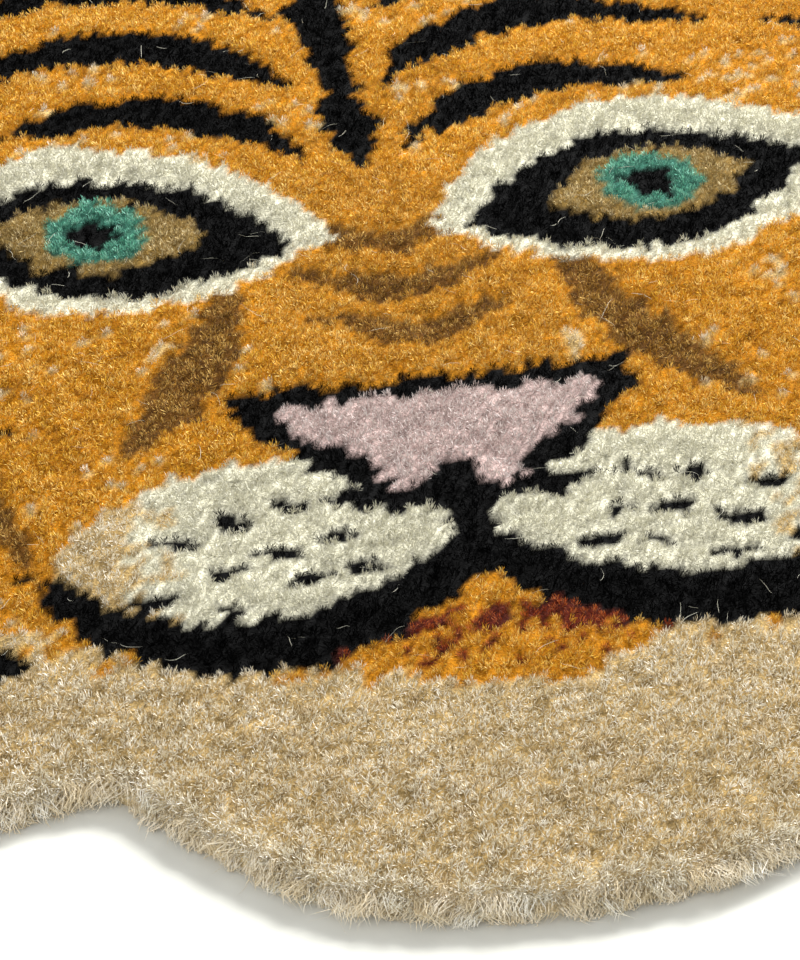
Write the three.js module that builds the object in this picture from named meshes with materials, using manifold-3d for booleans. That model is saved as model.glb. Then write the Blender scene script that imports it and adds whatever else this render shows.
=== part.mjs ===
// A hand-tufted wool rug cut to the outline of a tiger's head, lying flat, in millimetres.
// It is one piece: cut pile standing on its ground cloth, with the outermost tufts falling over the edge.
// +Z is up, the chin points to -Y, and the origin is under the middle of the rug, on the floor.
import * as THREE from "three";
import { mergeVertices } from "three/addons/utils/BufferGeometryUtils.js";
import Module from "manifold-3d";

const PILE_TOP = 15; // floor to the tips of the pile
const EDGE_REACH = 13; // how far in from the outline the pile starts to round over
const EDGE_DROP = 12; // how far down the rounding comes; below it the edge stands upright
const EDGE_STEPS = 4; // facets of the rounding
const OUTLINE_STEPS = 264; // facets round the outline
const MERGE_WITHIN = 0.001; // corners nearer than this are one vertex
const RUG_COLOUR = 0xbf9a5c;
const RUG_ROUGHNESS = 0.95;

// The right half of the outline, from the chin up over the cheek ruff and the ear to the crown.
const HALF_OUTLINE = [
  { at: "chin", x: 0, y: -346 },
  { at: "side of the chin", x: 78, y: -332 },
  { at: "corner of the chin", x: 124, y: -294 },
  { at: "notch under the jowl", x: 148, y: -268 },
  { at: "foot of the jowl lobe", x: 196, y: -274 },
  { at: "tip of the jowl lobe", x: 240, y: -256 },
  { at: "lower notch of the ruff", x: 262, y: -224 },
  { at: "foot of the ruff lobe", x: 300, y: -218 },
  { at: "tip of the ruff lobe", x: 328, y: -192 },
  { at: "upper notch of the ruff", x: 330, y: -156 },
  { at: "foot of the cheek lobe", x: 352, y: -134 },
  { at: "tip of the cheek lobe", x: 362, y: -98 },
  { at: "cheek", x: 346, y: -36 },
  { at: "lower temple", x: 322, y: 54 },
  { at: "upper temple", x: 306, y: 134 },
  { at: "foot of the ear", x: 308, y: 184 },
  { at: "side of the ear", x: 326, y: 246 },
  { at: "shoulder of the ear", x: 312, y: 310 },
  { at: "top of the ear", x: 262, y: 345 },
  { at: "inner side of the ear", x: 200, y: 334 },
  { at: "inner foot of the ear", x: 152, y: 302 },
  { at: "dip beside the crown", x: 108, y: 290 },
  { at: "crown", x: 0, y: 302 },
];

const wasm = await Module();
wasm.setup();

// A closed triangle mesh as a solid that can be cut. Faces that meet at a corner share one vertex there.
function solidOf(geometry) {
  const bare = new THREE.BufferGeometry().setAttribute("position", geometry.getAttribute("position"));
  bare.setIndex(geometry.index);
  const merged = mergeVertices(bare, MERGE_WITHIN);
  return new wasm.Manifold(
    new wasm.Mesh({
      numProp: 3,
      vertProperties: Float32Array.from(merged.getAttribute("position").array),
      triVerts: Uint32Array.from(merged.index.array),
    }),
  );
}

// The other way round: a cut solid as a three.js geometry.
function geometryOf(solid) {
  const mesh = solid.getMesh();
  return new THREE.BufferGeometry()
    .setAttribute("position", new THREE.BufferAttribute(mesh.vertProperties, 3))
    .setIndex(new THREE.BufferAttribute(mesh.triVerts, 1));
}

// The whole outline as one smooth closed curve: the right half, and its mirror image back down the left.
function outline() {
  const right = HALF_OUTLINE.map(({ x, y }) => new THREE.Vector3(x, y, 0));
  const left = right
    .filter((point) => point.x > 0)
    .map((point) => new THREE.Vector3(-point.x, point.y, 0))
    .reverse();
  const curve = new THREE.CatmullRomCurve3([...right, ...left], true, "centripetal");
  const points = curve.getSpacedPoints(OUTLINE_STEPS).slice(0, -1);
  return new THREE.Shape(points.map(({ x, y }) => new THREE.Vector2(x, y)));
}

// The rug's body: the outline with its upper edge rounded over, standing on a flat underside.
function rugGeometry() {
  const whole = new THREE.ExtrudeGeometry(outline(), {
    depth: PILE_TOP - EDGE_DROP,
    bevelEnabled: true,
    bevelThickness: EDGE_DROP,
    bevelSize: EDGE_REACH,
    bevelOffset: -EDGE_REACH,
    bevelSegments: EDGE_STEPS,
    steps: 1,
  });
  whole.computeBoundingBox();
  const { min, max } = whole.boundingBox;
  const wide = max.x - min.x;
  const long = max.y - min.y;
  const floor = new THREE.BoxGeometry(2 * wide, 2 * long, 2 * EDGE_DROP).translate(0, 0, -EDGE_DROP);
  const body = geometryOf(solidOf(whole).subtract(solidOf(floor)));
  return body.translate(-(min.x + max.x) / 2, -(min.y + max.y) / 2, 0);
}

const wool = new THREE.MeshStandardMaterial({ color: RUG_COLOUR, roughness: RUG_ROUGHNESS, metalness: 0 });
const rug = new THREE.Mesh(rugGeometry(), wool);
rug.name = "rug";

const part = new THREE.Group();
part.name = "tiger_head_rug";
part.add(rug);

export default part;
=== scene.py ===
# %% [markdown]
# # A hand-tufted tiger head rug
# The real rug is wool yarn shot through a canvas ground cloth with a tufting gun, one stitch about
# every four millimetres, then sheared level and cut round. The outline, the thickness and the place
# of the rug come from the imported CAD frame, which holds it as one flat solid. This script dresses
# that solid in its pile, tuft by tuft.

# %% Load the frame
import math

import bmesh
import bpy
import numpy as np
from mathutils import Euler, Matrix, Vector
from mathutils.kdtree import KDTree


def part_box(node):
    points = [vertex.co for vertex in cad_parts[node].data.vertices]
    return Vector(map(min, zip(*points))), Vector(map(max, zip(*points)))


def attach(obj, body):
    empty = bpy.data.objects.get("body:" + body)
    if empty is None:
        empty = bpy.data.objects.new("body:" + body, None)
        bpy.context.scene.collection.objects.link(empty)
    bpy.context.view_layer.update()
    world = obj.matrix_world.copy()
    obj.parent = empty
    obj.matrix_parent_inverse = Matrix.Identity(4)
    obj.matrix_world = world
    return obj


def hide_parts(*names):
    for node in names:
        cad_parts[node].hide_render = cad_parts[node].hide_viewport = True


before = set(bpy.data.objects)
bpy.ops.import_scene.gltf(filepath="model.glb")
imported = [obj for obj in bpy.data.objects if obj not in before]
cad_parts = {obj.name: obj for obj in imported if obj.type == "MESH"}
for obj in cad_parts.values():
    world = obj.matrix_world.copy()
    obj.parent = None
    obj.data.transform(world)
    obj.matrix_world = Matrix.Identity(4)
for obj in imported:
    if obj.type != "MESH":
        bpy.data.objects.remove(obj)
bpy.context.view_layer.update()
MM = 0.001

# %% [markdown]
# The camera comes first, so that every later choice is judged from where the photograph was taken:
# a long lens, 38 degrees above the floor, turned ten degrees off the middle line of the face. A lens
# this long keeps the far tufts nearly as large as the near ones, as in a product photograph.

# %% Camera
VIEW_TURN = math.radians(-10)
VIEW_RISE = math.radians(38)
VIEW_REACH = 1.2
AIM = Vector((-0.020, -0.105, 0.0))
LENS = 117.0


def add_camera(aim, turn, rise, reach, lens):
    """A camera that looks at aim from reach metres away."""
    back = Vector((math.sin(turn) * math.cos(rise), -math.cos(turn) * math.cos(rise), math.sin(rise)))
    data = bpy.data.cameras.new("camera")
    data.lens = lens
    camera = bpy.data.objects.new("camera", data)
    camera.location = aim + reach * back
    camera.rotation_euler = back.to_track_quat("Z", "Y").to_euler()
    bpy.context.scene.collection.objects.link(camera)
    return camera


bpy.context.scene.camera = add_camera(AIM, VIEW_TURN, VIEW_RISE, VIEW_REACH, LENS)
print("camera at", [round(c, 3) for c in bpy.context.scene.camera.location])

# %% [markdown]
# The outline is read back from the CAD solid rather than typed again, so it can't drift from it. The
# solid's underside is flat, so the edges that border the underside are the rug's outline, and
# walking from edge to edge gives the loop in order.

# %% Outline of the rug
UNDERSIDE = -0.99
SAME_POINT = 0.01 * MM


def outline_of(node_name):
    """The border of the node's flat underside, as a closed anticlockwise loop in millimetres."""
    bm = bmesh.new()
    bm.from_mesh(bpy.data.objects[node_name].data)
    bmesh.ops.remove_doubles(bm, verts=bm.verts, dist=SAME_POINT)
    border = {}
    for edge in bm.edges:
        under = [face for face in edge.link_faces if face.normal.z < UNDERSIDE]
        if len(under) == 1:
            a, b = edge.verts
            border.setdefault(a, []).append(b)
            border.setdefault(b, []).append(a)
    start = min(border, key=lambda vertex: vertex.co.y)
    loop = [start, border[start][0]]
    while True:
        a, b = border[loop[-1]]
        onward = b if a is loop[-2] else a
        if onward is start:
            break
        loop.append(onward)
    points = np.array([vertex.co.xy for vertex in loop]) / MM
    bm.free()
    return points if area_inside(points) > 0 else points[::-1]


def area_inside(loop):
    """The area inside a closed loop, positive if it runs anticlockwise."""
    x, y = loop.T
    return 0.5 * np.sum(x * np.roll(y, -1) - y * np.roll(x, -1))


OUTLINE = outline_of("rug")
PILE_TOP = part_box("rug")[1][2] / MM
ROUND = np.sum(np.hypot(*(OUTLINE - np.roll(OUTLINE, 1, axis=0)).T))

# %% [markdown]
# The pile is planned before it is made: one point for each tuft, in rows as a tufting gun lays them,
# every second row shifted by half a stitch, and each point a little off its place as by hand. Tufts
# near the outline lean out over the edge, so each one also needs to know how far the edge is.

# %% Tufts
STITCH = 4.4
ROW = 4.1
OFF_PLACE = 0.6
RIM = 10.0
TINY = 1e-9
rng = np.random.default_rng(7)


def inside(points, loop):
    """Which points lie inside a closed loop."""
    x, y = points.T
    within = np.zeros(len(points), bool)
    for (x0, y0), (x1, y1) in zip(loop, np.roll(loop, -1, axis=0)):
        if y0 != y1:
            within ^= ((y1 > y) != (y0 > y)) & (x < (x1 - x0) * (y - y0) / (y1 - y0) + x0)
    return within


def to_edge(points, loop):
    """How far each point is from a loop, and the direction from the point to the loop."""
    reach = np.full(len(points), np.inf)
    towards = np.zeros((len(points), 2))
    for start, end in zip(loop, np.roll(loop, -1, axis=0)):
        along = end - start
        part = np.clip((points - start) @ along / (along @ along), 0, 1)
        away = start + part[:, None] * along - points
        distance = np.hypot(*away.T)
        nearer = distance < reach
        reach[nearer] = distance[nearer]
        towards[nearer] = away[nearer] / np.maximum(distance[nearer, None], TINY)
    return reach, towards


def tuft_places():
    """The place of each tuft inside the rim, its distance from the edge and the way to the edge."""
    low, high = OUTLINE.min(0), OUTLINE.max(0)
    rows = np.arange(low[1], high[1], ROW)
    x, y = np.meshgrid(np.arange(low[0], high[0], STITCH), rows)
    x = x + np.where(np.arange(len(rows)) % 2, STITCH / 2, 0)[:, None]
    points = np.stack([x.ravel(), y.ravel()], 1)
    points += rng.normal(0, OFF_PLACE, points.shape)
    points = points[inside(points, OUTLINE)]
    reach, towards = to_edge(points, OUTLINE)
    keep = reach > RIM
    return points[keep], reach[keep], towards[keep]


TUFTS, TUFT_INSET, TUFT_OUTWARD = tuft_places()
print(len(TUFTS), "tufts inside the rim")

# %% [markdown]
# Which yarn goes where is a chart for the tufting gun. Stripes are tapered strokes through a few
# points, and eyes, muzzle and nose are lenses, ellipses and a rounded wedge, all given for the right
# half and mirrored. The chart is the script's own plain tiger face. A hand-held gun wanders a
# little, so the places are shaken by slow waves before they are looked up, which makes the edges of
# the patches uneven by a tuft or so.

# %% Chart helpers
YARNS = "ochre gold black ivory beige sand brown pink teal tan rust".split()
YARN = {name: number for number, name in enumerate(YARNS)}
BATCH_OF = {"gold": "ochre", "sand": "beige"}
WAVE_COUNT = 12
WAVE_PULLS = (0.6, 1.4)


def waves(points, length, seed):
    """A smooth random height at each point, about -1 to 1, that changes over about length."""
    chance = np.random.default_rng(seed)
    total = np.zeros(len(points))
    for _ in range(WAVE_COUNT):
        turn, start = chance.uniform(0, 2 * math.pi, 2)
        pull = 2 * math.pi / length * chance.uniform(*WAVE_PULLS)
        total += np.cos(pull * (points @ [math.cos(turn), math.sin(turn)]) + start)
    return total / math.sqrt(1.5 * WAVE_COUNT)


def curve(path, steps=6):
    """A smooth open curve through rows of x, y and half width, as closely spaced rows."""
    path = np.array(path, float)
    ends = np.vstack([2 * path[0] - path[1], path, 2 * path[-1] - path[-2]])
    part = np.linspace(0, 1, steps, endpoint=False)[:, None]
    spans = []
    for before, start, end, after in zip(ends, ends[1:], ends[2:], ends[3:]):
        straight = part * (end - before) / 2
        square = part**2 * (before - 2.5 * start + 2 * end - after / 2)
        cube = part**3 * (1.5 * (start - end) + (after - before) / 2)
        spans.append(start + straight + square + cube)
    return np.vstack(spans + [path[-1:]])


def on_stroke(points, path):
    """Which points lie on a stroke whose path is rows of x, y and half width."""
    hit = np.zeros(len(points), bool)
    rows = curve(path)
    for start, end in zip(rows, rows[1:]):
        along = end[:2] - start[:2]
        part = np.clip((points - start[:2]) @ along / max(along @ along, TINY), 0, 1)
        away = points - start[:2] - part[:, None] * along
        hit |= np.hypot(*away.T) < start[2] + part * (end[2] - start[2])
    return hit


print("stroke helpers ready for", len(YARNS), "yarns")

# %% [markdown]
# The strokes are rows of x, y and half width in millimetres, on the right half of the face. A tiger's
# stripes run across the forehead, in from the temples and cheeks, and up from the ruff.

# %% Chart strokes
STRIPES = {
    "brow spindle": [(0, 100, 2), (0, 134, 12), (0, 184, 8), (0, 240, 14), (0, 298, 4)],
    "low brow": [(22, 114, 2), (54, 146, 12), (98, 164, 13), (158, 150, 2)],
    "middle brow": [(20, 172, 2), (56, 206, 13), (108, 223, 14), (180, 200, 2)],
    "high brow": [(24, 238, 2), (62, 266, 11), (108, 276, 11), (170, 258, 2)],
    "upper temple": [(330, 190, 13), (262, 180, 13), (206, 196, 2)],
    "temple": [(330, 128, 14), (262, 120, 14), (214, 134, 2)],
    "lower temple": [(345, 66, 15), (274, 50, 14), (210, 60, 2)],
    "upper cheek": [(362, -4, 15), (286, -22, 14), (178, -8, 3)],
    "cheek": [(378, -76, 15), (300, -88, 14), (168, -62, 3)],
    "ruff": [(358, -152, 13), (300, -146, 12), (206, -118, 3)],
    "low ruff": [(338, -212, 12), (280, -196, 12), (206, -158, 3)],
    "jowl": [(254, -276, 12), (218, -234, 12), (176, -196, 3)],
}
NOSE_AND_MOUTH = {
    "philtrum": [(0, -118, 9), (0, -162, 11)],
    "mouth": [(0, -160, 11), (34, -190, 13), (84, -206, 14), (132, -192, 12), (166, -152, 3)],
}
NOSTRIL = [(25, -117, 2), (38, -107, 5), (52, -94, 2)]
FACE_LINES = {
    "tear line": [(66, 30, 3), (78, -10, 11), (98, -50, 13), (124, -88, 4)],
    "cheek line": [(190, 30, 3), (200, -30, 11), (186, -92, 12), (166, -140, 4)],
}
CHEVRONS = {
    # height of the wings, half length, half width in the middle
    "high": (58, 34, 8),
    "middle": (26, 44, 9),
    "low": (-8, 36, 8),
}
EAR_HAIRS = {
    "outer": [(236, 238, 2), (230, 268, 6), (240, 302, 1)],
    "inner": [(264, 236, 2), (266, 266, 6), (258, 302, 1)],
}
RUFF_LINE = [
    (0, -240), (96, -226), (160, -208), (212, -170),
    (262, -150), (320, -116), (362, -70), (400, -40),
]
print(len(STRIPES), "stripes on each half")

# %% [markdown]
# Later colours cover earlier ones, as on the real chart. Wool comes in batches that never match quite,
# so some ochre tufts are a deeper gold and some beige ones a warmer sand. A few beige tufts lie loose in
# the ochre, and single tufts cross the border between ochre and beige, which keeps large areas lively.

# %% Yarn of each tuft
WANDER = 2.0
WANDER_OVER = 24
OFF_CHART = 0.8
SCATTERED = {
    # share everywhere, how much more in clusters, size of the waves, height where a cluster starts, seed
    "gold": (0.10, 0.15, 60, 0.5, 16),
    "fleck": (0.012, 0.16, 70, 0.35, 15),
    "sand": (0.05, 0.20, 26, 0.4, 17),
}
BRIDGE_GOLD = 0.75
RUFF_BLEND = 26
EYE_AT = (120, 66)
EYE_SLANT = math.radians(13)
EYE_PARTS = {
    # half length, half height, roundness, shift along and across the eye
    "white": (100, 62, 2.2, (0, 7)),
    "lid": (84, 46, 1.8, (-4, 0)),
    "opening": (47, 27, 2.3, (0, 1)),
}
IRIS = 23
PUPIL = 10.5
EAR_AT = (250, 274)
EAR_SIZE = (46, 44)
EAR_FROM = (176, 206)
EAR_BORDER = 26
PAD_AT = (74, -150)
PAD_SIZE = (80, 48)
PAD_BLEND_FROM = 108
PAD_BLEND = 26
LIP_RUST = 0.75
LIP_TOP = -200
LIP_BLEND = 40
NOSE_BORDER = 13
WHISKER_ROWS = ((-130, 0.10), (-148, -0.04), (-166, -0.16))
WHISKER_FROM = 38
WHISKER_STEP = 23
WHISKER_LONG = 11


def eye_lens(side, y, length, height, power, shift):
    """Which points lie in a lens-shaped part of the eye."""
    across = math.cos(EYE_SLANT) * (side - EYE_AT[0]) + math.sin(EYE_SLANT) * (y - EYE_AT[1]) - shift[0]
    up = math.cos(EYE_SLANT) * (y - EYE_AT[1]) - math.sin(EYE_SLANT) * (side - EYE_AT[0]) - shift[1]
    return np.abs(up) < height * (1 - np.clip(np.abs(across) / length, 0, 1) ** power)


def in_ellipse(side, y, at, size):
    """Which points lie in an ellipse, given its middle and its half sizes."""
    return ((side - at[0]) / size[0]) ** 2 + ((y - at[1]) / size[1]) ** 2 < 1


def nose_bridge(side, y):
    """Which points lie on the bridge of the nose, which narrows towards the brow."""
    return (side < 64 - 0.12 * (y + 80)) & (y > -80) & (y < 96)


def lower_lip(side, y):
    """Which points lie in the lower lip, between the mouth and the chin."""
    return (side < 78) & (y < -196 - 0.06 * side) & (y > -240 + 0.0065 * side**2)


def nose_wedge(side, y, grown):
    """Which points lie in the wedge of the nose, grown all round by some millimetres."""
    part = np.clip((-66 - y) / 60, 0, 1)
    return (side < 68 - 46 * part**1.2 + grown) & (y < -67 + grown) & (y > -124 - grown)


def whisker_marks(half):
    """Which points lie on the dark dashes where the whiskers grow, in three rows that fan out."""
    hit = np.zeros(len(half), bool)
    for row, (first_y, slope) in enumerate(WHISKER_ROWS):
        for place in range(4):
            x = WHISKER_FROM + 9 * (row % 2) + WHISKER_STEP * place
            y = first_y + slope * (x - WHISKER_FROM) - 0.004 * (x - WHISKER_FROM) ** 2
            end = (x + WHISKER_LONG, y + WHISKER_LONG * slope, 3.0)
            hit |= on_stroke(half, [(x, y, 3.4), end])
    return hit


def yarn_at(points):
    """The yarn of each tuft, from its place on the chart."""
    chance = np.random.default_rng(11)
    count = len(points)
    shaken = points + chance.normal(0, OFF_CHART, points.shape)
    shaken[:, 0] += WANDER * waves(points, WANDER_OVER, 13)
    shaken[:, 1] += WANDER * waves(points, WANDER_OVER, 14)
    x, y = shaken.T
    side = np.abs(x)
    half = np.stack([side, y], 1)
    yarn = np.full(count, YARN["ochre"])

    def dye(where, name):
        yarn[where] = YARN[name]

    def draw(paths, name):
        for path in paths.values():
            dye(on_stroke(half, path), name)

    def scattered(name):
        everywhere, more, length, above, seed = SCATTERED[name]
        return chance.random(count) < everywhere + more * (waves(points, length, seed) > above)

    dye(scattered("gold"), "gold")
    bridge = nose_bridge(side, y)
    dye(bridge & (chance.random(count) < BRIDGE_GOLD), "gold")
    dye(scattered("fleck") & ~bridge, "beige")
    below = np.interp(side, *np.array(RUFF_LINE, float).T) - y
    ruff = below > -RUFF_BLEND * chance.random(count)
    dye(ruff, "beige")
    dye(ruff & scattered("sand"), "sand")
    draw(FACE_LINES, "brown")
    for top, reach, wide in CHEVRONS.values():
        dye(on_stroke(shaken, [(-reach, top, 3), (0, top - 18, wide), (reach, top, 3)]), "brown")
    at_ear = (side > EAR_FROM[0]) & (y > EAR_FROM[1])
    dye(at_ear & (to_edge(points, OUTLINE)[0] < EAR_BORDER), "black")
    ear = in_ellipse(side, y, EAR_AT, EAR_SIZE)
    dye(ear, "beige")
    for path in EAR_HAIRS.values():
        dye(ear & on_stroke(half, path), "brown")

    dye(eye_lens(side, y, *EYE_PARTS["white"]), "ivory")
    dye(eye_lens(side, y, *EYE_PARTS["lid"]), "black")
    opening = eye_lens(side, y, *EYE_PARTS["opening"])
    from_pupil = np.hypot(side - EYE_AT[0], y - EYE_AT[1] - 2)
    dye(opening, "tan")
    dye(opening & (from_pupil < IRIS), "teal")
    dye(opening & (from_pupil < PUPIL), "black")
    draw(STRIPES, "black")

    pad = in_ellipse(side, y, PAD_AT, PAD_SIZE)
    dye(pad, "ivory")
    dye(pad & (chance.random(count) < (side - PAD_BLEND_FROM) / PAD_BLEND), "beige")
    dye(pad & whisker_marks(half), "black")
    dye(nose_wedge(side, y, NOSE_BORDER), "black")
    dye(nose_wedge(side, y, 0), "pink")
    dye(on_stroke(half, NOSTRIL), "black")
    lip = lower_lip(side, y)
    dye(lip, "ochre")
    dye(lip & (chance.random(count) < LIP_RUST - (LIP_TOP - y) / LIP_BLEND), "rust")
    draw(NOSE_AND_MOUTH, "black")
    return yarn


TUFT_YARN = yarn_at(TUFTS)
print({name: int(np.sum(TUFT_YARN == number)) for name, number in YARN.items()})

# %% [markdown]
# Dyed wool is matt, but never one flat colour: the scales of the fibre catch some light at its tip, no
# two hairs take the dye alike, and light that reaches the roots has been through other fibres first,
# which makes it darker and purer. So each yarn has four colours: deep, a painted shade for the roots,
# and dark, middle and bright for different hairs. A fibre keeps two numbers in its UV map: how bright a
# hair it is, and how far up the hair a point lies. One ramp turns the first into the hair's colour, and
# one mix paints the shade from the root colour up to it by the second.

# %% Dyes and painted root shade
DYES_AND_ROOT_SHADE = {
    # root shade (painted), dark, middle, bright
    "ochre": ("865606", "BC8712", "DCB032", "F0D484"),
    "gold": ("80540A", "B88018", "D8AC3C", "EED48A"),
    "black": ("010101", "020202", "040404", "101010"),
    "ivory": ("A8A592", "BEBBA6", "CAC7B4", "D6D3C4"),
    "beige": ("8C764C", "B9A67F", "DED7C1", "F5F1E7"),
    "sand": ("84704A", "B49E78", "DACAA8", "F2E8D4"),
    "brown": ("482D08", "765112", "A47E30", "DCB86A"),
    "pink": ("927F7A", "B6A6A0", "CABEB8", "DCD4D0"),
    "teal": ("22483C", "428470", "70B89F", "A8DEC8"),
    "tan": ("5E4A22", "8E7A48", "BCA46C", "E0D0A6"),
    "rust": ("3A0E02", "6C2406", "A04414", "D88848"),
}


def linear(code):
    """An sRGB hex colour as linear red, green, blue and alpha."""
    parts = [int(code[i:i + 2], 16) / 255 for i in (0, 2, 4)]
    return [p / 12.92 if p < 0.04045 else ((p + 0.055) / 1.055) ** 2.4 for p in parts] + [1.0]


def node(tree, kind, settings, inputs):
    """Adds a node: settings are its own values, and inputs are values or the sockets that feed it."""
    made = tree.nodes.new(kind)
    for name, value in settings.items():
        setattr(made, name, value)
    for name, value in inputs.items():
        if isinstance(value, bpy.types.NodeSocket):
            tree.links.new(value, made.inputs[name])
        else:
            made.inputs[name].default_value = value
    return made


def add_surface(tree, inputs):
    """Ends a material in one surface shader with these inputs."""
    shader = node(tree, "ShaderNodeBsdfPrincipled", {}, inputs)
    node(tree, "ShaderNodeOutputMaterial", {}, {"Surface": shader.outputs[0]})


def empty_material(name):
    """A new material without nodes, and its node tree."""
    material = bpy.data.materials.new(name)
    material.use_nodes = True
    material.node_tree.nodes.clear()
    return material, material.node_tree


print(len(DYES_AND_ROOT_SHADE), "dyes")

# %% [markdown]
# Real wool hairs are 0.03 mm thick, far too fine to see from here, so a modelled fibre stands for a
# wisp of a dozen hairs. A streaky noise, a third of a millimetre across and longer than it is wide,
# splits each wisp again into hairs, most of them darker than the wisp and a few lighter: random tone,
# and painted shade for the thin gaps between hairs. It only shifts the place on the ramp, so the
# colours stay the yarn's own.

# %% Wool of the fibres
HAIR = 0.30
HAIR_STRETCH = 0.5
# the darker shift is partly random hair tone and partly painted shade in the gaps between hairs
HAIR_DARKER = -0.40
HAIR_LIGHTER = 0.12
NOISE_RANGE = (0.30, 0.56)
SHEEN = 0.08


def wool(name, root_shade, dark, middle, bright):
    """Dyed wool, spun and cut: matt, with a faint sheen, and painted darker towards the roots, where the
    pile shades them.
    """
    material, tree = empty_material(name)
    lit = "black" not in name
    kept = node(tree, "ShaderNodeUVMap", {"uv_map": "OFBake"}, {})
    parts = node(tree, "ShaderNodeSeparateXYZ", {}, {"Vector": kept.outputs[0]})
    place = node(tree, "ShaderNodeTexCoord", {}, {})
    drawn = node(tree, "ShaderNodeMapping", {},
                 {"Vector": place.outputs["Object"], "Scale": (1.0, 1.0, HAIR_STRETCH)})
    hairs = node(tree, "ShaderNodeTexNoise", {},
                 {"Vector": drawn.outputs[0], "Scale": 0.5 / (HAIR * MM), "Detail": 1.0})
    shift = node(tree, "ShaderNodeMapRange", {},
                 {"Value": hairs.outputs[0], "From Min": NOISE_RANGE[0], "From Max": NOISE_RANGE[1],
                  "To Min": HAIR_DARKER, "To Max": HAIR_LIGHTER})
    tone = node(tree, "ShaderNodeMath", {"operation": "ADD"}, {0: parts.outputs["X"], 1: shift.outputs[0]})
    ramp = node(tree, "ShaderNodeValToRGB", {}, {"Fac": tone.outputs[0]})
    stops = ramp.color_ramp.elements
    stops[0].position, stops[0].color = 0.1, linear(dark)
    stops[1].position, stops[1].color = 0.9, linear(bright)
    stops.new(0.5).color = linear(middle)
    # painted root shade: full root colour up to a tenth of the way up the hair, none from four fifths up
    risen = node(tree, "ShaderNodeMapRange", {"interpolation_type": "SMOOTHSTEP"},
                 {"Value": parts.outputs["Y"], "From Min": 0.1, "From Max": 0.8})
    colour = node(tree, "ShaderNodeMix", {"data_type": "RGBA"},
                  {0: risen.outputs[0], 6: linear(root_shade), 7: ramp.outputs["Color"]})
    add_surface(tree, {"Base Color": colour.outputs[2], "Roughness": 0.85,
                       "Specular IOR Level": 0.25 if lit else 0.0,
                       "Sheen Weight": SHEEN if lit else 0.0, "Sheen Roughness": 0.4})
    return material


WOOL = {name: wool("wool yarn " + name, *colours) for name, colours in DYES_AND_ROOT_SHADE.items()}
print(len(WOOL), "wools")

# %% [markdown]
# Under the fibre tips the pile is packed so tightly that it reads as one soft lumpy body. That body is
# the CAD solid's own shape, remeshed evenly, lowered by the length of the loose tips and drawn in
# where the rim will hang over it. Each tuft lifts it a little, and every point takes the colour of
# its tuft, so that no wrong colour shows between fibres: the tuft's deep root colour, a painted shade,
# which is lighter near the edge where less shade falls. Voxel remeshing makes the even faces that
# such a displacement needs.

# %% Tuft heights and tones
TALLER = {
    # how much a yarn stands above the rest
    "black": -0.6,
    "ivory": 0.4,
    "beige": 0.2,
    "brown": -0.3,
    "pink": 0.3,
    "teal": 0.2,
    "rust": -0.2,
}
TUFT_LIFT = 0.7
TUFT_TALL = 0.6 * rng.normal(0, 1, len(TUFTS)) + 0.4 * waves(TUFTS, 45, 21)
TUFT_TALL += np.array([TALLER.get(name, 0.0) for name in YARNS])[TUFT_YARN]
TUFT_TONE = 0.12 * rng.normal(0, 1, len(TUFTS)) + 0.05 * waves(TUFTS, 22, 22) + 0.04 * waves(TUFTS, 90, 23)
TUFT_TREE = KDTree(len(TUFTS))
for number, (x, y) in enumerate(TUFTS):
    TUFT_TREE.insert((x, y, 0), number)
TUFT_TREE.balance()


def nearest_tuft(points):
    """The number of the tuft nearest to each point, and its distance."""
    found = [TUFT_TREE.find((x, y, 0))[1:] for x, y in points]
    return np.array([number for number, _ in found]), np.array([distance for _, distance in found])


print("tuft tones from", round(TUFT_TONE.min(), 2), "to", round(TUFT_TONE.max(), 2))

# %% Body of the rug
CORE_TOP = 10.9
CORE_IN = 4.2
CORE_MESH = 3.9
DOME = 0.6
DOME_REACH = 2.4
DRAWN_IN_WITHIN = 20
PALER_WITHIN = 16
BODY_LIGHT = 1.25
BODY_UNEVEN = 1.6
FLAT_UNDER = 0.4


def add_object(name, mesh, *materials):
    """A finished mesh as an object at the origin."""
    made = bpy.data.objects.new(name, mesh)
    bpy.context.scene.collection.objects.link(made)
    for material in materials:
        mesh.materials.append(material)
    return made


def remeshed(node_name, piece_name, size):
    """A copy of a CAD node as an even mesh of small faces."""
    bm = bmesh.new()
    bm.from_mesh(bpy.data.objects[node_name].data)
    bmesh.ops.remove_doubles(bm, verts=bm.verts, dist=SAME_POINT)
    bmesh.ops.recalc_face_normals(bm, faces=bm.faces)
    rough = bpy.data.meshes.new(piece_name)
    bm.to_mesh(rough)
    bm.free()
    copy = add_object(piece_name, rough)
    modifier = copy.modifiers.new("even faces", "REMESH")
    modifier.mode = "VOXEL"
    modifier.voxel_size = size * MM
    seen = copy.evaluated_get(bpy.context.evaluated_depsgraph_get())
    even = bpy.data.meshes.new_from_object(seen)
    copy.modifiers.clear()
    copy.data = even
    bpy.data.meshes.remove(rough)
    return copy


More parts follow.
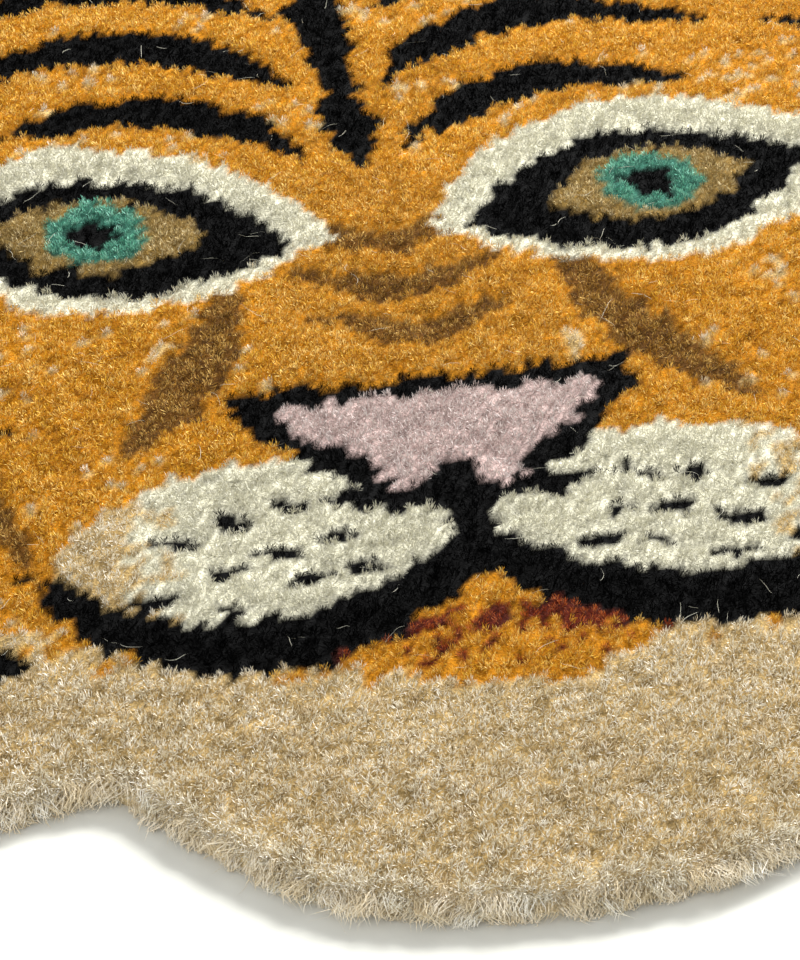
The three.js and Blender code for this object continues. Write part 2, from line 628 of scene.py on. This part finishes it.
def lift_tufts(mesh):
    """Lowers and dimples the body in place. Returns the tuft of each vertex and how far the edge is."""
    places = np.zeros(len(mesh.vertices) * 3, np.float32)
    mesh.vertices.foreach_get("co", places)
    places = places.reshape(-1, 3).astype(float) / MM
    owner, apart = nearest_tuft(places[:, :2])
    reach, outward = to_edge(places[:, :2], OUTLINE)
    risen = np.clip(places[:, 2] / PILE_TOP, 0, 1)
    lump = DOME * (1 - (np.minimum(apart, 1.6 * DOME_REACH) / DOME_REACH) ** 2)
    lump += TUFT_LIFT * TUFT_TALL[owner]
    places[:, 2] = CORE_TOP * risen + lump * risen**2 * (places[:, 2] > 1)
    places[:, :2] -= CORE_IN * outward * np.clip(1 - reach / DRAWN_IN_WITHIN, 0, 1)[:, None]
    places[places[:, 2] < FLAT_UNDER, 2] = 0
    mesh.vertices.foreach_set("co", (places * MM).ravel())
    return owner, reach


body = remeshed("rug", "rug_body", CORE_MESH)
owner, reach = lift_tufts(body.data)
# painted shade: the body takes each yarn's root shade, blended towards the dark stop within PALER_WITHIN
# of the edge
root_shade, dark = (np.array([linear(DYES_AND_ROOT_SHADE[name][k])[:3] for name in YARNS]) for k in (0, 1))
less_shade_at_rim = np.clip(1 - reach / PALER_WITHIN, 0, 1)[:, None]
colour = np.ones((len(owner), 4), np.float32)
colour[:, :3] = root_shade[TUFT_YARN[owner]]
colour[:, :3] += less_shade_at_rim * (dark - root_shade)[TUFT_YARN[owner]]
colour[:, :3] *= (BODY_LIGHT + BODY_UNEVEN * TUFT_TONE[owner])[:, None]
body.data.color_attributes.new("yarn", "FLOAT_COLOR", "POINT").data.foreach_set("color", colour.ravel())
print("body", len(body.data.polygons), "faces")

# %% [markdown]
# The remeshed underside is thousands of faces for one plane. They are deleted, and the hole they leave
# is filled again with one flat face, which shows the canvas ground cloth. The body then gets a UV
# map for its baked colours: the pile seen from above takes most of the square, and the underside lies
# smaller beside it.

# %% Underside of the rug
MAP_ABOVE = 0.68
MAP_BELOW = 0.29


def close_underside(mesh):
    """Swaps the underside's small faces for one flat face of the second material."""
    bm = bmesh.new()
    bm.from_mesh(mesh)
    under = [face for face in bm.faces if all(vertex.co.z < SAME_POINT for vertex in face.verts)]
    bmesh.ops.delete(bm, geom=under, context="FACES")
    border = [edge for edge in bm.edges if edge.is_boundary]
    canvas = bmesh.ops.holes_fill(bm, edges=border, sides=0)["faces"]
    bmesh.ops.recalc_face_normals(bm, faces=bm.faces)
    for face in bm.faces:
        face.smooth = True
    for face in canvas:
        face.smooth = False
        face.material_index = 1
    flat = bm.loops.layers.uv.new("OFBake")
    for face in bm.faces:
        scale, shift = (MAP_BELOW, MAP_ABOVE + 0.02) if face.material_index else (MAP_ABOVE, 0.01)
        for corner in face.loops:
            place = corner.vert.co.xy / (MM * np.ptp(OUTLINE, axis=0).max()) + Vector((0.5, 0.5))
            corner[flat].uv = (shift + scale * place.x, 0.01 + scale * place.y)
    bm.to_mesh(mesh)
    bm.free()


close_underside(body.data)
print("body", sum(len(face.vertices) - 2 for face in body.data.polygons), "triangles")

# %% [markdown]
# The body's wool is the same yarn seen end on: a fine crumbly grain of fibre ends, each half a
# millimetre across. The ground cloth is cotton canvas, a plain weave of threads a millimetre apart. Two
# waves cross to draw it: where one thread is on top the other dips, which the bump shows as well.

# %% Wool and canvas of the body
GRAIN = 0.5
THREAD = 1.1
CANVAS = ("8C8270", "C9C0AC")


def packed_wool():
    """Cut pile seen end on: matt, crumbly, in the colour of each point's own tuft, which holds its painted
    root shade.
    """
    material, tree = empty_material("packed wool pile")
    yarn = node(tree, "ShaderNodeAttribute", {"attribute_name": "yarn"}, {})
    place = node(tree, "ShaderNodeTexCoord", {}, {})
    grain = node(tree, "ShaderNodeTexNoise", {},
                 {"Vector": place.outputs["Object"], "Scale": 0.5 / (GRAIN * MM), "Detail": 2.0})
    light = node(tree, "ShaderNodeMapRange", {},
                 {"Value": grain.outputs[0], "From Min": 0.3, "From Max": 0.7,
                  "To Min": 0.6, "To Max": 1.3})
    colour = node(tree, "ShaderNodeVectorMath", {"operation": "SCALE"},
                  {0: yarn.outputs["Color"], "Scale": light.outputs[0]})
    bump = node(tree, "ShaderNodeBump", {},
                {"Height": grain.outputs[0], "Distance": 0.8 * MM, "Strength": 0.8})
    add_surface(tree, {"Base Color": colour.outputs[0], "Roughness": 0.95,
                       "Specular IOR Level": 0.1, "Normal": bump.outputs[0]})
    return material


def cotton_canvas():
    """Unbleached cotton canvas: a dull plain weave with darker gaps between the threads."""
    material, tree = empty_material("cotton canvas ground cloth")
    place = node(tree, "ShaderNodeTexCoord", {}, {})
    scale = 0.5 / (THREAD * MM) / math.pi
    threads = []
    for direction in "XY":
        threads.append(node(tree, "ShaderNodeTexWave", {"bands_direction": direction},
                            {"Vector": place.outputs["Object"], "Scale": scale, "Distortion": 0.6}))
    weave = node(tree, "ShaderNodeMath", {"operation": "MULTIPLY"},
                 {0: threads[0].outputs["Fac"], 1: threads[1].outputs["Fac"]})
    colour = node(tree, "ShaderNodeMix", {"data_type": "RGBA"},
                  {0: weave.outputs[0], 6: linear(CANVAS[0]), 7: linear(CANVAS[1])})
    bump = node(tree, "ShaderNodeBump", {},
                {"Height": weave.outputs[0], "Distance": 0.4 * MM, "Strength": 1.0})
    add_surface(tree, {"Base Color": colour.outputs[2], "Roughness": 0.9,
                       "Specular IOR Level": 0.2, "Normal": bump.outputs[0]})
    return material


body.data.materials.append(packed_wool())
body.data.materials.append(cotton_canvas())
print([material.name for material in body.data.materials])

# %% [markdown]
# A tuft is a bundle of cut fibres that springs open where the yarn was cut, like the head of a thistle:
# the fibres spread from a small heart below the surface, upright in the middle and leaning out at the
# sides, and make a little dome with a darker gap round it, partly real shadow and partly painted shade
# on the outer fibres. Wool crimps, so no fibre keeps to that order, and each one also strays a good deal
# by chance, which is what makes the pile look soft and not combed. There are thousands of tufts, so each
# has only three dozen fibres, and each fibre is one narrow three-sided face, widest near its tip, where a
# cut wisp opens. Sixteen different bundles are enough to keep neighbours from looking alike. Each face
# starts as a three-sided disc that is pulled to shape, turned and set in its bundle.

# %% One tuft
FIBRES = 36
BUNDLES = 16
FIBRE_WIDE = 0.36
FIBRE_LONG = 3.9
SHOULDER = 0.75
HEART = 10.8
FOOT = 0.5
SCATTER = 1.6
SPLAY = math.radians(38)
STRAY = math.radians(32)
SHORTER_OUTSIDE = 0.12
LONG_SPREAD = (0.85, 1.15)
WIDE_SPREAD = (0.75, 1.25)
TIP_WIDE = 0.15
FOOT_UNEVEN = 0.45
FIBRE_TONE = (0.04, 0.14)
PAINTED_GAP_SHADE = 0.30


def bundle(number):
    """The corners of one tuft's fibres, three to a fibre, in millimetres, with the heart at the origin."""
    chance = np.random.default_rng(100 + number)
    bm = bmesh.new()
    for _ in range(FIBRES):
        disc = bmesh.ops.create_circle(bm, cap_ends=True, segments=3, radius=1.0)["verts"]
        out = math.sqrt(chance.random())
        turn, facing = chance.uniform(0, 2 * math.pi, 2)
        long = FIBRE_LONG * chance.uniform(*LONG_SPREAD) * (1 - SHORTER_OUTSIDE * out**2)
        wide = FIBRE_WIDE * chance.uniform(*WIDE_SPREAD)
        shape = ((0, 0), (wide, SHOULDER * long), (TIP_WIDE * wide, long))
        for vertex, (x, z) in zip(disc, shape):
            vertex.co = (x, 0, z)
        stray = Euler((chance.normal(0, STRAY), chance.normal(0, STRAY), facing)).to_matrix()
        splay = Euler((0, SPLAY * out, turn)).to_matrix() @ Euler((0, 0, -turn)).to_matrix()
        bmesh.ops.rotate(bm, verts=disc, matrix=splay @ stray)
        rise = chance.normal(0, FOOT_UNEVEN)
        foot = Vector((FOOT * out * math.cos(turn), FOOT * out * math.sin(turn), rise))
        off, way = SCATTER * math.sqrt(chance.random()), chance.uniform(0, 2 * math.pi)
        foot += Vector((off * math.cos(way), off * math.sin(way), 0))
        bmesh.ops.translate(bm, verts=disc, vec=foot)
    corners = np.array([vertex.co for vertex in bm.verts])
    bm.free()
    return corners.reshape(FIBRES, 3, 3)


BUNDLE = np.array([bundle(number) for number in range(BUNDLES)])
BUNDLE_OUT = np.hypot(BUNDLE[:, :, 2, 0], BUNDLE[:, :, 2, 1]) / FIBRE_LONG
BUNDLE_TONE = np.random.default_rng(99).normal(*FIBRE_TONE, (BUNDLES, FIBRES))
# painted shade: a bundle's outer fibres are darker, as shade in the gaps between tufts
BUNDLE_TONE -= PAINTED_GAP_SHADE * (BUNDLE_OUT**2 - np.mean(BUNDLE_OUT**2))
print(BUNDLES, "bundles of", FIBRES, "fibres")

# %% [markdown]
# The pile is an array of those bundles, one on every tuft, turned and leaned with its neighbours' nap,
# and joined into a few meshes for each yarn. Placing them as arrays of numbers takes seconds, where
# an object for each tuft would take minutes and could not be exported. The tone differs by a trace
# between a fibre's corners, which gives its face some area in the UV map. Where two colours meet, a
# real rug is trimmed with scissors to keep the border crisp, and the bundles there are narrower.

# %% Meshes of many triangles
MOST_TRIANGLES = 190_000
SIDE_TONE = 0.003


def triangles_object(name, corners, tone, rise, material):
    """One object of loose triangles. Tone and rise go into the UV map as its two coordinates."""
    count = len(corners)
    mesh = bpy.data.meshes.new(name)
    mesh.vertices.add(3 * count)
    mesh.vertices.foreach_set("co", (corners * MM).astype(np.float32).ravel())
    mesh.loops.add(3 * count)
    mesh.loops.foreach_set("vertex_index", np.arange(3 * count, dtype=np.int32))
    mesh.polygons.add(count)
    mesh.polygons.foreach_set("loop_start", np.arange(0, 3 * count, 3, dtype=np.int32))
    tone = np.clip(tone, 0.02, 0.98)
    rise = np.clip(rise, 0.02, 0.98)
    lookup = np.stack([tone, rise], -1).astype(np.float32)
    mesh.uv_layers.new(name="OFBake").data.foreach_set("uv", lookup.ravel())
    mesh.update(calc_edges=True)
    mesh.validate()
    return add_object(name, mesh, material)


def leaned(lean_x, lean_y, turn):
    """Matrices that turn about Z and then lean by small angles towards X and Y."""
    c, s = np.cos(turn), np.sin(turn)
    zero, one = np.zeros_like(turn), np.ones_like(turn)
    about_z = np.stack([c, -s, zero, s, c, zero, zero, zero, one], -1).reshape(-1, 3, 3)
    size = np.maximum(np.hypot(lean_x, lean_y), 1e-6)
    x, y = -lean_y / size, lean_x / size
    c, s = np.cos(size), np.sin(size)
    rows = [c + x * x * (1 - c), x * y * (1 - c), y * s]
    rows += [x * y * (1 - c), c + y * y * (1 - c), -x * s]
    rows += [-y * s, x * s, c]
    return np.stack(rows, -1).reshape(-1, 3, 3) @ about_z


print("a piece holds at most", MOST_TRIANGLES, "triangles")

# %% The pile
NAP = math.radians(9)
TUFT_LEAN = math.radians(9)
EDGE_LEAN = math.radians(14)
LEAN_WITHIN = 8.0
NAP_OVER = 38
TALL_LONGER = 0.3
FIBRE_UNEVEN = 0.05
BORDER_WITHIN = 6.5
BORDER_SPREAD = 0.62


def beside_other_yarn():
    """Which tufts have a tuft of clearly another colour near them."""
    kind = np.array([YARN[BATCH_OF.get(name, name)] for name in YARNS])[TUFT_YARN]
    beside = np.zeros(len(TUFTS), bool)
    for number, (x, y) in enumerate(TUFTS):
        near = [other for _, other, _ in TUFT_TREE.find_range((x, y, 0), BORDER_WITHIN)]
        beside[number] = np.any(kind[near] != kind[number])
    return beside


def fibres_at(hearts, lean_x, lean_y, tone, size, spread, chance):
    """Bundles with their hearts at these points: the corners, tones and rises of all their fibres."""
    count = len(hearts)
    variant = chance.integers(0, BUNDLES, count)
    turned = leaned(lean_x, lean_y, chance.uniform(0, 2 * math.pi, count))
    shape = BUNDLE[variant] * np.reshape(size, (-1, 1, 1, 1))
    shape[..., :2] *= np.reshape(spread, (-1, 1, 1, 1))
    corners = np.einsum("nij,nfcj->nfci", turned, shape) + hearts[:, None, None, :]
    fibre_tone = tone[:, None] + BUNDLE_TONE[variant] + chance.normal(0, FIBRE_UNEVEN, (count, FIBRES))
    corner_tone = fibre_tone[..., None] + SIDE_TONE * np.array([0, 2, 1])
    return corners, corner_tone, np.broadcast_to([0.0, SHOULDER, 1.0], corner_tone.shape)


near_rim = np.clip(1 - (TUFT_INSET - RIM) / LEAN_WITHIN, 0, 1)
lean_x = NAP * waves(TUFTS, NAP_OVER, 31) + TUFT_LEAN * rng.normal(0, 1, len(TUFTS))
lean_y = NAP * waves(TUFTS, NAP_OVER, 32) + TUFT_LEAN * rng.normal(0, 1, len(TUFTS))
lean_x += EDGE_LEAN * near_rim * TUFT_OUTWARD[:, 0]
lean_y += EDGE_LEAN * near_rim * TUFT_OUTWARD[:, 1]
hearts = np.concatenate([TUFTS, (HEART + TUFT_LIFT * TUFT_TALL)[:, None]], 1)
tall = 1 + TALL_LONGER * TUFT_TALL / FIBRE_LONG
spread = np.where(beside_other_yarn(), BORDER_SPREAD, 1.0)
shaped, corner_tone, corner_rise = fibres_at(hearts, lean_x, lean_y, 0.5 + TUFT_TONE, tall, spread, rng)

pile = []
arrays = (shaped, corner_tone, corner_rise)
for name, number in YARN.items():
    mine = np.flatnonzero(TUFT_YARN == number)
    mine = mine[np.argsort(TUFTS[mine, 1], kind="stable")]
    parts = math.ceil(len(mine) * FIBRES / MOST_TRIANGLES)
    for part, some in enumerate(np.array_split(mine, parts), 1):
        title = f"pile_{name}" if parts == 1 else f"pile_{name}_{part}"
        corners, tone, rise = (array[some].reshape(-1, *array.shape[2:]) for array in arrays)
        pile.append(triangles_object(title, corners, tone, rise, WOOL[name]))
        print(title, len(some), "tufts,", len(corners), "triangles")

# %% [markdown]
# At the edge the outer fibres fan out, fall over the canvas and curl under, and the whole length of the
# yarn shows. So a strand there is a strip of three lengths that bends: a grid of one by three faces
# whose ends are pulled to points, copied and bent by moving its joints. A stray hair has six lengths.

# %% One strand
STRAND_LENGTHS = 3
HAIR_LENGTHS = 6


def strip(lengths):
    """A strip pointed at both ends. For each corner of its triangles: its joint and its side, -1 to 1."""
    bm = bmesh.new()
    bmesh.ops.create_grid(bm, x_segments=1, y_segments=lengths, size=1.0)
    for end in (-1, 1):
        pair = [vertex for vertex in bm.verts if abs(vertex.co.y - end) < 1e-6]
        bmesh.ops.pointmerge(bm, verts=pair, merge_co=(0, end, 0))
    bmesh.ops.triangulate(bm, faces=bm.faces)
    corners = np.array([[loop.vert.co.xy for loop in face.loops] for face in bm.faces])
    bm.free()
    joint = np.rint((corners[..., 1] + 1) / 2 * lengths).astype(int)
    return joint, corners[..., 0]


def bent_strips(paths, across, wide):
    """The triangles of a strip bent along each path. wide is the full width at each joint."""
    joint, side = strip(paths.shape[1] - 1)
    half = 0.5 * np.asarray(wide)[joint] * side
    corners = paths[:, joint] + across[:, None, None] * half[..., None]
    return corners.reshape(-1, 3, 3), joint, side


def strip_tones(tone, joint, side, first_rise, last_rise):
    """The tone and rise of each corner of bent strips."""
    rise = first_rise + (last_rise - first_rise) * joint / joint.max()
    tones = tone[:, None, None] + SIDE_TONE * side
    return tones.reshape(-1, 3), np.broadcast_to(rise, tones.shape).reshape(-1, 3)


for name, lengths in (("strand", STRAND_LENGTHS), ("stray hair", HAIR_LENGTHS)):
    print("a", name, "has", len(strip(lengths)[0]), "triangles")

# %% [markdown]
# The rim is where the eye judges a rug's thickness. Its tufts stand on a rounded edge, so they point
# further and further outwards, and three rows of the same bundles follow that rounding. Below them
# nothing holds the yarn up, so it is longer and looser than on top: strands hang over the edge of the
# canvas in locks that overlap like shingles, each lock with a lean and a wave of its own. A lock is
# round: the strands at its sides start further in and lower, and are painted darker as the shade in
# the crease that this leaves between locks. The rim sees more of the white studio than the pile does
# and would look grey, so most of its beige locks are of the warmer sand batch.

# %% The rim
EDGE_AT = 11.0
EDGE_FLOOR = 2.2
EDGE_WIDE = 6.6
EDGE_TALL = HEART - EDGE_FLOOR
EDGE_ANGLES = (16, 34, 54)
EDGE_SIZE = 1.05
EDGE_TONE = 0.53
# edge fibres start part way up the painted root shade, so their roots are painted lighter than the pile's
EDGE_RISE = 0.35
EDGE_SPREAD = {
    # place in stitches, angle in degrees, tilt and lean in radians, tone
    "place": 0.25,
    "angle": 5,
    "tilt": 0.16,
    "lean": 0.20,
    "tone": 0.10,
}
RIM_TONE = 0.70
BRIGHTEST_LOCK = 0.80
CREASE = 1.8
CREASE_SHADE = 0.18
LOCK = 6.5
SAND_LOCKS = 0.8
LOCK_STRANDS = 26
LOCK_OFF = 0.3
LOCK_SPIN = 1.0
LOCK_FILL = 0.55
# lock strands likewise start part way up the painted root shade
LOCK_RISE = 0.45
GATHER = 0.30
KINK = 0.20
ENDS_UNEVEN = 0.8
LOCK_WIDE = (0.0, 0.36, 0.34, 0.0)
LOCK_ROWS = [
    # inset from the outline, height of the root, first angle above the floor, last angle, length
    (7.6, 9.8, 26, -104, 10.0),
    (6.8, 7.2, 16, -112, 9.5),
    (5.8, 4.8, 4, -112, 8.0),
]
LOCK_SPREAD = {
    # how much locks differ, how much the strands of one lock differ
    "start": (0.8, 0.4),
    "first": (13, 6),
    "last": (20, 14),
    "length": (0.14, 0.10),
    "sway": (0.38, 0.20),
    "wave": (0.34, 0.48),
    "root": (0.5, 0.4),
    "tone": (0.13, 0.08),
}
FLOOR_GAP = 0.4


def along_outline(at):
    """The points at these lengths round the outline, and the outward and onward directions there."""
    loop = np.vstack([OUTLINE, OUTLINE[:1]])
    lengths = np.concatenate([[0], np.cumsum(np.hypot(*np.diff(loop, axis=0).T))])

    def point(at):
        return np.stack([np.interp(at % lengths[-1], lengths, loop[:, k]) for k in (0, 1)], 1)

    onward = point(at + 4) - point(at - 4)
    onward /= np.linalg.norm(onward, axis=1, keepdims=True)
    return point(at), np.stack([onward[:, 1], -onward[:, 0]], 1), onward


def edge_row(row, angle):
    """One row of bundles on the rounded edge: their corners, tones, rises and yarns."""
    chance = np.random.default_rng(200 + row)
    count = round(ROUND / STITCH)
    off = chance.uniform(-EDGE_SPREAD["place"], EDGE_SPREAD["place"], count)
    at = (np.arange(count) + 0.5 * (row % 2) + off) * STITCH
    middle, outward, _ = along_outline(at)
    turn = np.radians(angle + chance.normal(0, EDGE_SPREAD["angle"], count))
    inset = EDGE_AT - EDGE_WIDE * np.sin(turn)
    height = EDGE_FLOOR + EDGE_TALL * np.cos(turn)
    yarn = TUFT_YARN[nearest_tuft(middle - outward * (inset + 1)[:, None])[0]]
    tilt = np.arctan2(np.sin(turn) / EDGE_WIDE, np.cos(turn) / EDGE_TALL)
    tilt += chance.normal(0, EDGE_SPREAD["tilt"], count)
    lean = outward * tilt[:, None] + chance.normal(0, EDGE_SPREAD["lean"], (count, 2))
    hearts = np.concatenate([middle - outward * inset[:, None], height[:, None]], 1)
    tone = EDGE_TONE + chance.normal(0, EDGE_SPREAD["tone"], count)
    size = EDGE_SIZE * chance.uniform(*LONG_SPREAD, count)
    corners, tone, rise = fibres_at(hearts, *lean.T, tone, size, 1.0, chance)
    corners[..., 2] = np.maximum(corners[..., 2], FLOOR_GAP)
    return corners, tone, EDGE_RISE + (1 - EDGE_RISE) * rise, yarn


def lock_row(row, inset, root, first, last, length):
    """The paths, facings, tones and yarns of one row of hanging locks."""
    chance = np.random.default_rng(300 + row)
    locks = round(ROUND / LOCK)
    at = (np.arange(locks) + row / len(LOCK_ROWS) + chance.uniform(-LOCK_OFF, LOCK_OFF, locks)) * LOCK
    middle, outward, onward = along_outline(at)
    yarn = TUFT_YARN[nearest_tuft(middle - outward * (inset + 1))[0]]
    yarn[(yarn == YARN["beige"]) & (chance.random(locks) < SAND_LOCKS)] = YARN["sand"]
    shape = (locks, LOCK_STRANDS)

    def uneven(trait):
        lock_spread, strand_spread = LOCK_SPREAD[trait]
        return chance.normal(0, lock_spread, (locks, 1)) + chance.normal(0, strand_spread, shape)

    spot = chance.uniform(-1, 1, shape)
    start = inset + CREASE * spot**2 + uneven("start")
    first = np.radians(first + uneven("first"))
    last = np.radians(last + uneven("last"))
    step_long = length * (1 + uneven("length")) / STRAND_LENGTHS
    sway = uneven("sway")
    wave = uneven("wave")
    across = onward[:, None] * (LOCK_FILL * LOCK * spot)[..., None]
    flat = middle[:, None] - outward[:, None] * start[..., None] + across
    height = root - CREASE * spot**2 + uneven("root")
    line = [np.concatenate([flat, height[..., None]], -1)]
    for step in range(STRAND_LENGTHS):
        tilt = first + (last - first) * (step + 0.5) / STRAND_LENGTHS
        swing = sway + wave * (-1) ** step - GATHER * spot * (step - 0.5) + chance.normal(0, KINK, shape)
        flat = outward[:, None] * np.cos(tilt)[..., None] + onward[:, None] * swing[..., None]
        onwards = np.concatenate([flat, np.sin(tilt)[..., None]], -1)
        line.append(line[-1] + step_long[..., None] * onwards)
    paths = np.stack(line, 2).reshape(-1, STRAND_LENGTHS + 1, 3)
    lowest = FLOOR_GAP + ENDS_UNEVEN * chance.random((len(paths), 1))
    paths[..., 2] = np.maximum(paths[..., 2], lowest)
    spin = chance.uniform(-LOCK_SPIN, LOCK_SPIN, shape)[..., None]
    facing = np.concatenate([onward[:, None] * np.cos(spin), np.sin(spin)], -1).reshape(-1, 3)
    # painted shade: strands at a lock's sides are darker, as shade in the crease between locks
    tone = np.minimum(RIM_TONE + uneven("tone") - CREASE_SHADE * spot**2, BRIGHTEST_LOCK)
    return paths, facing, tone.ravel(), np.repeat(yarn, LOCK_STRANDS)


edge = [edge_row(number, angle) for number, angle in enumerate(EDGE_ANGLES)]
edge = [np.concatenate(part) for part in zip(*edge)]
lock = [lock_row(number, *row) for number, row in enumerate(LOCK_ROWS)]
lock = [np.concatenate(part) for part in zip(*lock)]
for name, number in YARN.items():
    mine = edge[3] == number
    hung = lock[3] == number
    if not mine.any() and not hung.any():
        continue
    corners, joint, side = bent_strips(lock[0][hung], lock[1][hung], LOCK_WIDE)
    tone, rise = strip_tones(lock[2][hung], joint, side, LOCK_RISE, 1.0)
    corners = np.concatenate([edge[0][mine].reshape(-1, 3, 3), corners])
    tone = np.concatenate([edge[1][mine].reshape(-1, 3), tone])
    rise = np.concatenate([edge[2][mine].reshape(-1, 3), rise])
    pile.append(triangles_object("rim_" + name, corners, tone, rise, WOOL[name]))
    print("rim_" + name, int(mine.sum()), "tufts,", int(hung.sum()), "strands,", len(corners), "triangles")

# %% [markdown]
# A new wool rug sheds: loose pale hairs lie across the pile, where they show most on black, and a few
# stick out from the rim onto the floor. Each hair follows a walk whose direction changes slowly.

# %% Stray hairs
TOP_HAIRS = 800
RIM_HAIRS = 520
HAIR_WIDE = (0.0, 0.08, 0.09, 0.09, 0.08, 0.06, 0.0)
HAIR_TONE = (0.5, 0.1)
HAIR_BEND = 0.10
HAIR_SWERVE = 0.25
HAIR_DIP = 0.12
TOP_HAIR_FROM = -0.6
TOP_HAIR_WITHIN = (-1.2, 2.0)
TOP_HAIR_RISE = 0.1
TOP_HAIR_LONG = (3, 7)
TOP_HAIR_LONGER = (0.8, 2.2)
RIM_HAIR_FROM = (1.5, 12)
RIM_HAIR_IN = 3
RIM_HAIR_FAN = 0.6
RIM_HAIR_RISE = -0.3
RIM_HAIR_LONG = (5, 14)


def wandering(start, heading, rise, long, chance):
    """Paths that start at these points with these headings and wander."""
    count = len(start)
    bend = chance.normal(0, HAIR_BEND, count)
    line = [start]
    for _ in range(HAIR_LENGTHS):
        heading = heading + bend + chance.normal(0, HAIR_SWERVE, count)
        rise = rise + chance.normal(0, HAIR_DIP, count)
        step = np.stack([np.cos(heading), np.sin(heading), rise], 1)
        line.append(line[-1] + (long / HAIR_LENGTHS)[:, None] * step)
    return np.stack(line, 1)


def hairs_object(name, paths, chance, yarn):
    """One object of thin hairs along paths."""
    turn = chance.uniform(0, math.pi, len(paths))
    across = np.stack([np.cos(turn), np.sin(turn), np.full(len(paths), 0.4)], 1)
    corners, joint, side = bent_strips(paths, across, HAIR_WIDE)
    # stray hairs carry almost none of the painted root shade
    tone, rise = strip_tones(chance.normal(*HAIR_TONE, len(paths)), joint, side, 0.9, 0.98)
    return triangles_object(name, corners, tone, rise, WOOL[yarn])


chance = np.random.default_rng(400)
on_top = chance.choice(len(TUFTS), TOP_HAIRS)
height = PILE_TOP + TOP_HAIR_FROM + TUFT_TALL[on_top]
start = np.concatenate([TUFTS[on_top], height[:, None]], 1)
heading = chance.uniform(0, 2 * math.pi, TOP_HAIRS)
long = chance.uniform(*TOP_HAIR_LONG, TOP_HAIRS) * chance.uniform(*TOP_HAIR_LONGER, TOP_HAIRS)
paths = wandering(start, heading, np.full(TOP_HAIRS, TOP_HAIR_RISE), long, chance)
paths[..., 2] = np.clip(paths[..., 2], *(PILE_TOP + limit for limit in TOP_HAIR_WITHIN))
pile.append(hairs_object("hairs_ivory", paths, chance, "ivory"))

middle, outward, _ = along_outline(chance.uniform(0, ROUND, RIM_HAIRS))
height = chance.uniform(*RIM_HAIR_FROM, (RIM_HAIRS, 1))
start = np.concatenate([middle - RIM_HAIR_IN * outward, height], 1)
heading = np.arctan2(outward[:, 1], outward[:, 0]) + chance.normal(0, RIM_HAIR_FAN, RIM_HAIRS)
long = chance.uniform(*RIM_HAIR_LONG, RIM_HAIRS)
paths = wandering(start, heading, np.full(RIM_HAIRS, RIM_HAIR_RISE), long, chance)
paths[..., 2] = np.maximum(paths[..., 2], FLOOR_GAP)
pile.append(hairs_object("hairs_beige", paths, chance, "beige"))
print(TOP_HAIRS, "hairs on the pile,", RIM_HAIRS, "at the rim")

# %% [markdown]
# The floor is a plain pale sheet and the light is soft and even, as in a product photograph: a bright
# world for the general light, a broad key lamp from behind on the right, which lets the tufts shade
# each other and leaves a soft shadow in front, and a weaker fill lamp from the front.

# %% Floor and light
FLOOR_SIZE = 4.0
FLOOR_WHITE = "D8D8D0"
SKY = 0.62
LAMPS = {
    # place in metres, width in metres, watts
    "key": ((1.1, 1.3, 1.3), 0.9, 168),
    "fill": ((-1.4, -1.4, 1.6), 2.0, 20),
}


def add_floor():
    """A flat square of matt white paper under the rug."""
    bm = bmesh.new()
    bmesh.ops.create_grid(bm, x_segments=1, y_segments=1, size=FLOOR_SIZE)
    mesh = bpy.data.meshes.new("floor")
    bm.to_mesh(mesh)
    bm.free()
    material, tree = empty_material("matt white paper")
    place = node(tree, "ShaderNodeTexCoord", {}, {})
    grain = node(tree, "ShaderNodeTexNoise", {}, {"Vector": place.outputs["Object"], "Scale": 300.0})
    bump = node(tree, "ShaderNodeBump", {}, {"Height": grain.outputs[0], "Distance": 0.05 * MM})
    add_surface(tree, {"Base Color": linear(FLOOR_WHITE), "Roughness": 0.9, "Normal": bump.outputs[0]})
    return add_object("floor", mesh, material)


def add_lamp(name, place, wide, watts):
    """A square soft lamp that points at the rug."""
    data = bpy.data.lights.new(name, "AREA")
    data.energy = watts
    data.size = wide
    lamp = bpy.data.objects.new(name, data)
    lamp.location = place
    lamp.rotation_euler = Vector(place).to_track_quat("Z", "Y").to_euler()
    bpy.context.scene.collection.objects.link(lamp)


add_floor()
world = bpy.data.worlds.new("studio")
bpy.context.scene.world = world
world.use_nodes = True
world.node_tree.nodes["Background"].inputs["Color"].default_value = (1, 1, 1, 1)
world.node_tree.nodes["Background"].inputs["Strength"].default_value = SKY
for name, lamp in LAMPS.items():
    add_lamp(name, *lamp)
bpy.context.scene.view_settings.view_transform = "Standard"
print(len(LAMPS), "lamps")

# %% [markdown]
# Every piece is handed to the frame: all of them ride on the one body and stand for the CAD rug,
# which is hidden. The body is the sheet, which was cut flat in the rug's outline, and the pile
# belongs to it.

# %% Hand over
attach(body, "root")
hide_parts("rug")
for piece in pile:
    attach(piece, "root")
    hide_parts("rug")
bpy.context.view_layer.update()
total = sum(len(face.vertices) - 2 for piece in [body, *pile] for face in piece.data.polygons)
print(len(pile) + 1, "pieces,", total, "triangles in all")
